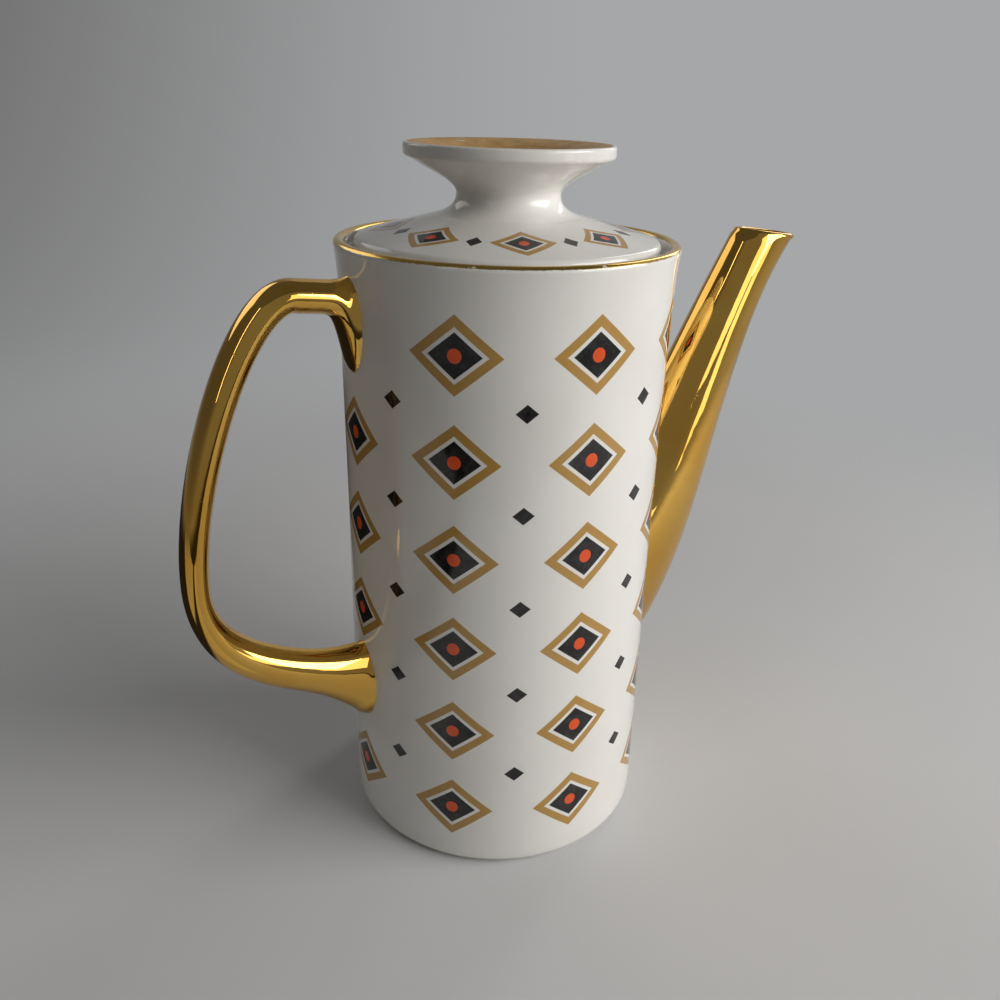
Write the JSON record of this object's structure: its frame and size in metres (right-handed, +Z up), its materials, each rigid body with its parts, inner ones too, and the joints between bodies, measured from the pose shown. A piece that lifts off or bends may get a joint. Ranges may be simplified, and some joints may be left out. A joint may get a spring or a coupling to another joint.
{
  "type": "coffee pot",
  "caption": "Tall cylindrical earthenware coffee pot with a slanted spout, an ear handle and an inset lift-off lid with a funnel-shaped knob.",
  "frame": {"origin": "centre of the foot ring, on the surface that the pot stands on", "axes": "+Z up along the pot's axis, +X towards the spout, -X towards the handle"},
  "size_m": [0.2283, 0.1064, 0.2301],
  "materials": {
    "white_glaze": "glossy off-white glaze with a printed pattern and a gilded rim line",
    "bright_gold": "mirror-bright liquid gold fired over the glaze"
  },
  "bodies": {
    "pot": {"pot_body": "white_glaze", "spout": "bright_gold", "handle": "bright_gold"},
    "lid": {"lid_cover": "white_glaze", "lid_knob": "white_glaze"}
  },
  "joints": [
    {"name": "lid_lift", "type": "slide", "parent": "pot", "child": "lid", "axis": [0, 0, 1], "range_m": [0, 0.08]}
  ]
}
